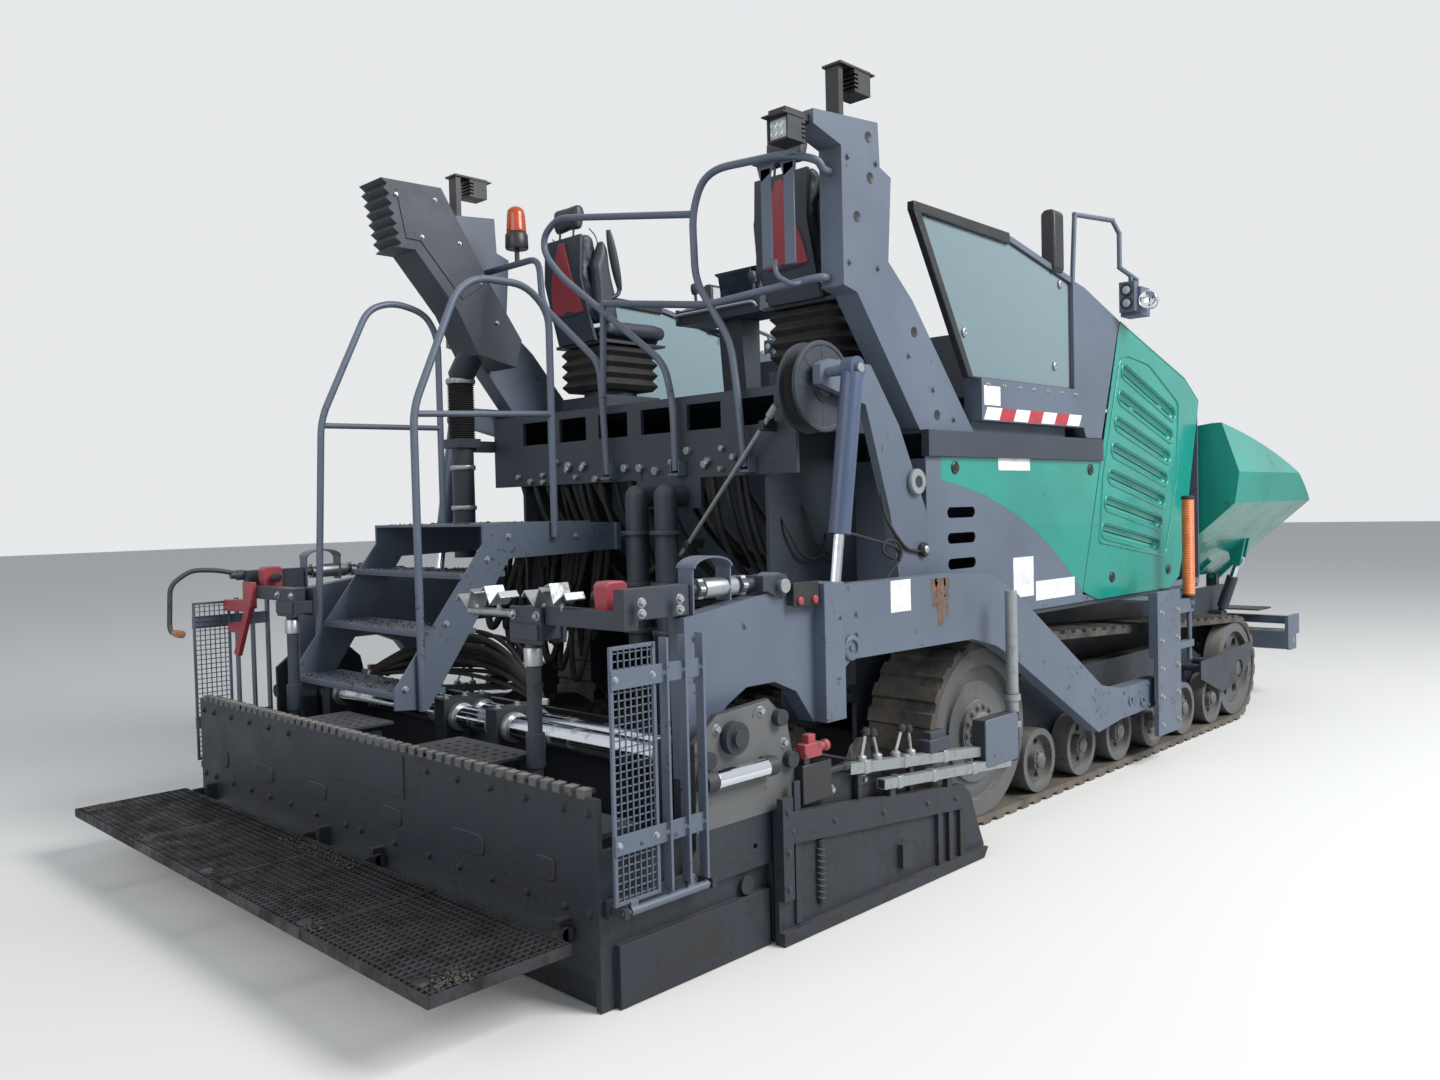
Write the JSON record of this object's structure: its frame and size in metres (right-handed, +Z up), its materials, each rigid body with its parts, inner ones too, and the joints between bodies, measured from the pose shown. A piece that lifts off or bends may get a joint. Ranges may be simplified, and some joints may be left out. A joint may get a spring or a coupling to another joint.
{
  "type": "asphalt paver",
  "caption": "Tracked road paver with a tipping front hopper, operator platform, side tow arms, spreading augers and an extending screed with a rear walkway.",
  "frame": {"origin": "on the ground, at the middle of the machine's length and width", "axes": "+X forward to the hopper, +Y to the left, +Z up"},
  "size_m": [7.7, 3.24, 3.4],
  "materials": {
    "frame_grey": "satin dark grey paint",
    "dark_grey": "satin charcoal paint",
    "panel_green": "gloss green paint",
    "track_rubber": "worn black rubber",
    "chrome_rod": "polished",
    "zinc": "zinc plated, dull",
    "worn_steel": "worn and stained by asphalt",
    "apron_rubber": "reinforced rubber sheet",
    "black_plastic": "black",
    "seat_vinyl": "black vinyl",
    "window": "clear, slightly tinted",
    "engine_block": "painted casting",
    "grating": "dark worn steel"
  },
  "bodies": {
    "tractor": {"chassis": "frame_grey", "track_frames": "frame_grey", "track_left": "track_rubber", "track_right": "track_rubber", "wheels_left": "dark_grey", "wheels_right": "dark_grey", "engine": "engine_block", "hood_shell": "dark_grey", "side_panels": "panel_green", "platform": "frame_grey", "side_screens": "frame_grey", "screen_glass": "window", "towers": "frame_grey", "fume_duct": "dark_grey", "work_lamps": "black_plastic", "handrails": "frame_grey", "stairs": "frame_grey", "conveyor": "worn_steel", "tow_guides": "frame_grey"},
    "screed": {"tow_arms": "frame_grey", "screed_frame": "dark_grey", "screed_fittings": "zinc"},
    "hood_lid": {"hood_lid": "panel_green"},
    "console": {"console": "dark_grey"},
    "seat_left": {"seat_left": "seat_vinyl"},
    "seat_right": {"seat_right": "seat_vinyl"},
    "hose_reel": {"hose_reel": "dark_grey"},
    "hopper_left": {"hopper_left": "panel_green"},
    "hopper_right": {"hopper_right": "panel_green"},
    "wing_barrel_left": {"wing_barrel_left": "dark_grey"},
    "wing_barrel_right": {"wing_barrel_right": "dark_grey"},
    "wing_rod_left": {"wing_rod_left": "chrome_rod"},
    "wing_rod_right": {"wing_rod_right": "chrome_rod"},
    "hopper_apron": {"hopper_apron": "apron_rubber"},
    "push_beam": {"push_beam": "frame_grey"},
    "push_rollers": {"push_rollers": "zinc"},
    "auger_left": {"auger_left": "worn_steel"},
    "auger_right": {"auger_right": "worn_steel"},
    "extension_left": {"extension_left": "dark_grey"},
    "extension_right": {"extension_right": "dark_grey"},
    "walkway": {"walkway": "grating"},
    "guard_left": {"guard_left": "frame_grey"},
    "guard_right": {"guard_right": "frame_grey"},
    "lift_barrel_left": {"lift_barrel_left": "frame_grey"},
    "lift_barrel_right": {"lift_barrel_right": "frame_grey"},
    "lift_rod_left": {"lift_rod_left": "chrome_rod"},
    "lift_rod_right": {"lift_rod_right": "chrome_rod"}
  },
  "joints": [
    {"name": "hood_lid_hinge", "type": "hinge", "parent": "tractor", "child": "hood_lid", "pos_m": [0.87, 0, 2.556], "axis": [0, -1, 0], "range_deg": [0, 50]},
    {"name": "seat_left_swivel", "type": "hinge", "parent": "tractor", "child": "seat_left", "pos_m": [-1.19, 0.8, 2.18], "axis": [0, 0, 1], "range_deg": [-20, 20]},
    {"name": "seat_right_swivel", "type": "hinge", "parent": "tractor", "child": "seat_right", "pos_m": [-1.19, -0.8, 2.18], "axis": [0, 0, 1], "range_deg": [-20, 20]},
    {"name": "console_slide", "type": "slide", "parent": "tractor", "child": "console", "axis": [0, 1, 0], "range_m": [-0.2, 0.05]},
    {"name": "reel_spin", "type": "hinge", "parent": "tractor", "child": "hose_reel", "pos_m": [-1.77, -1.19, 2.03], "axis": [0, 1, 0], "continuous": true},
    {"name": "wing_left_tip", "type": "hinge", "parent": "tractor", "child": "hopper_left", "pos_m": [2.83, 0.85, 0.92], "axis": [1, 0, 0], "range_deg": [-18, 35]},
    {"name": "wing_barrel_left_pivot", "type": "hinge", "parent": "tractor", "child": "wing_barrel_left", "pos_m": [3.18, 0.99, 0.64], "axis": [1, 0, 0], "range_deg": [-12, 20]},
    {"name": "wing_rod_left_slide", "type": "slide", "parent": "wing_barrel_left", "child": "wing_rod_left", "axis": [0, 0.3162, 0.9487], "range_m": [-0.09, 0.14]},
    {"name": "wing_right_tip", "type": "hinge", "parent": "tractor", "child": "hopper_right", "pos_m": [2.83, -0.85, 0.92], "axis": [-1, 0, 0], "range_deg": [-18, 35]},
    {"name": "wing_barrel_right_pivot", "type": "hinge", "parent": "tractor", "child": "wing_barrel_right", "pos_m": [3.18, -0.99, 0.64], "axis": [-1, 0, 0], "range_deg": [-12, 20]},
    {"name": "wing_rod_right_slide", "type": "slide", "parent": "wing_barrel_right", "child": "wing_rod_right", "axis": [0, -0.3162, 0.9487], "range_m": [-0.09, 0.14]},
    {"name": "apron_tip", "type": "hinge", "parent": "tractor", "child": "hopper_apron", "pos_m": [3.52, 0, 0.64], "axis": [0, -1, 0], "range_deg": [0, 75]},
    {"name": "push_beam_swing", "type": "hinge", "parent": "tractor", "child": "push_beam", "pos_m": [3.54, 0, 0.4], "axis": [0, 0, 1], "range_deg": [-6, 6]},
    {"name": "push_roller_spin", "type": "hinge", "parent": "push_beam", "child": "push_rollers", "pos_m": [3.73, 0, 0.43], "axis": [0, 1, 0], "continuous": true},
    {"name": "auger_left_spin", "type": "hinge", "parent": "tractor", "child": "auger_left", "pos_m": [-1.55, 0.77, 0.33], "axis": [0, 1, 0], "continuous": true},
    {"name": "auger_right_spin", "type": "hinge", "parent": "tractor", "child": "auger_right", "pos_m": [-1.55, -0.77, 0.33], "axis": [0, 1, 0], "continuous": true},
    {"name": "screed_lift", "type": "hinge", "parent": "tractor", "child": "screed", "pos_m": [0.98, 0, 0.42], "axis": [0, 1, 0], "range_deg": [0, 3.2]},
    {"name": "extension_left_slide", "type": "slide", "parent": "screed", "child": "extension_left", "axis": [0, 1, 0], "range_m": [0, 1.4]},
    {"name": "guard_left_fold", "type": "hinge", "parent": "extension_left", "child": "guard_left", "pos_m": [-3.045, 1.6, 0.32], "axis": [-1, 0, 0], "range_deg": [0, 90]},
    {"name": "lift_barrel_left_pivot", "type": "hinge", "parent": "tractor", "child": "lift_barrel_left", "pos_m": [-1.82, 1.425, 2.08], "axis": [0, 1, 0], "range_deg": [-3, 1]},
    {"name": "lift_rod_left_slide", "type": "slide", "parent": "lift_barrel_left", "child": "lift_rod_left", "axis": [-0.1626, 0, -0.9867], "range_m": [-0.19, 0.01]},
    {"name": "extension_right_slide", "type": "slide", "parent": "screed", "child": "extension_right", "axis": [0, -1, 0], "range_m": [0, 1.4]},
    {"name": "guard_right_fold", "type": "hinge", "parent": "extension_right", "child": "guard_right", "pos_m": [-3.045, -1.6, 0.32], "axis": [1, 0, 0], "range_deg": [0, 90]},
    {"name": "lift_barrel_right_pivot", "type": "hinge", "parent": "tractor", "child": "lift_barrel_right", "pos_m": [-1.82, -1.425, 2.08], "axis": [0, 1, 0], "range_deg": [-3, 1]},
    {"name": "lift_rod_right_slide", "type": "slide", "parent": "lift_barrel_right", "child": "lift_rod_right", "axis": [-0.1626, 0, -0.9867], "range_m": [-0.19, 0.01]},
    {"name": "walkway_fold", "type": "hinge", "parent": "screed", "child": "walkway", "pos_m": [-3.302, 0, 0.23], "axis": [0, 1, 0], "range_deg": [0, 86]}
  ],
  "couplings": [
    {"joint": "wing_barrel_left_pivot", "follows": "wing_left_tip", "ratio": 0.5},
    {"joint": "wing_rod_left_slide", "follows": "wing_left_tip", "m_per_rad": 0.20253},
    {"joint": "lift_barrel_left_pivot", "follows": "screed_lift", "ratio": -0.42261},
    {"joint": "lift_rod_left_slide", "follows": "screed_lift", "m_per_rad": -3.0252},
    {"joint": "wing_barrel_right_pivot", "follows": "wing_right_tip", "ratio": 0.5},
    {"joint": "wing_rod_right_slide", "follows": "wing_right_tip", "m_per_rad": 0.20253},
    {"joint": "lift_barrel_right_pivot", "follows": "screed_lift", "ratio": -0.42261},
    {"joint": "lift_rod_right_slide", "follows": "screed_lift", "m_per_rad": -3.0252}
  ]
}
